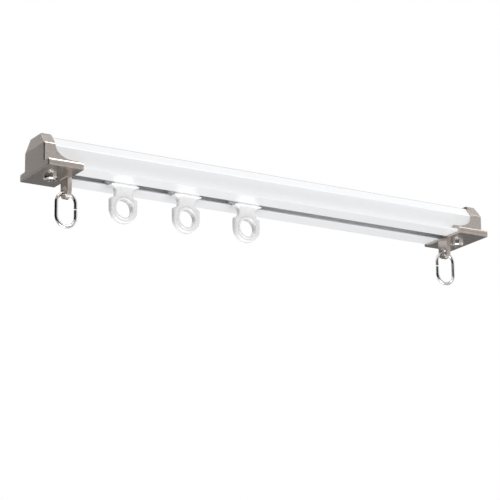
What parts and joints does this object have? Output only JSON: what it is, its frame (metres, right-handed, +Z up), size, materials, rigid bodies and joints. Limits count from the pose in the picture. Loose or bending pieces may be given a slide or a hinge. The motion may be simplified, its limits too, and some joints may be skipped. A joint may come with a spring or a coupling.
{
  "type": "curtain track",
  "caption": "Short slotted curtain rail with cast end caps, hanging oval links and sliding ring runners.",
  "frame": {"origin": "middle of the rail's top face, where a bracket holds it", "axes": "+X along the rail to the right seen from the room, -Y towards the room, +Z up"},
  "size_m": [0.2196, 0.0272, 0.0372],
  "materials": {
    "rail_paint": "satin white paint",
    "cap_plating": "satin champagne nickel",
    "screw_plating": "bright plated",
    "nut_steel": "zinc plated",
    "link_chrome": "polished",
    "runner_plastic": "milky moulded plastic"
  },
  "bodies": {
    "track": {"rail": "rail_paint", "left_cap": "cap_plating", "right_cap": "cap_plating", "left_screw": "screw_plating", "right_screw": "screw_plating", "left_nut": "nut_steel", "right_nut": "nut_steel"},
    "runner_1": {"runner_1": "runner_plastic"},
    "runner_2": {"runner_2": "runner_plastic"},
    "runner_3": {"runner_3": "runner_plastic"},
    "left_link": {"left_link": "link_chrome"},
    "right_link": {"right_link": "link_chrome"}
  },
  "joints": [
    {"name": "runner_1_slide", "type": "slide", "parent": "track", "child": "runner_1", "axis": [1, 0, 0], "range_m": [-0.0142, 0.0082]},
    {"name": "runner_2_slide", "type": "slide", "parent": "track", "child": "runner_2", "axis": [1, 0, 0], "range_m": [-0.0082, 0.0081]},
    {"name": "runner_3_slide", "type": "slide", "parent": "track", "child": "runner_3", "axis": [1, 0, 0], "range_m": [-0.0081, 0.093]},
    {"name": "left_link_swing", "type": "hinge", "parent": "track", "child": "left_link", "pos_m": [-0.09525, 0, -0.02131], "axis": [1, 0, 0], "range_deg": [-110, 110]},
    {"name": "right_link_swing", "type": "hinge", "parent": "track", "child": "right_link", "pos_m": [0.09525, 0, -0.02131], "axis": [1, 0, 0], "range_deg": [-110, 110]}
  ]
}
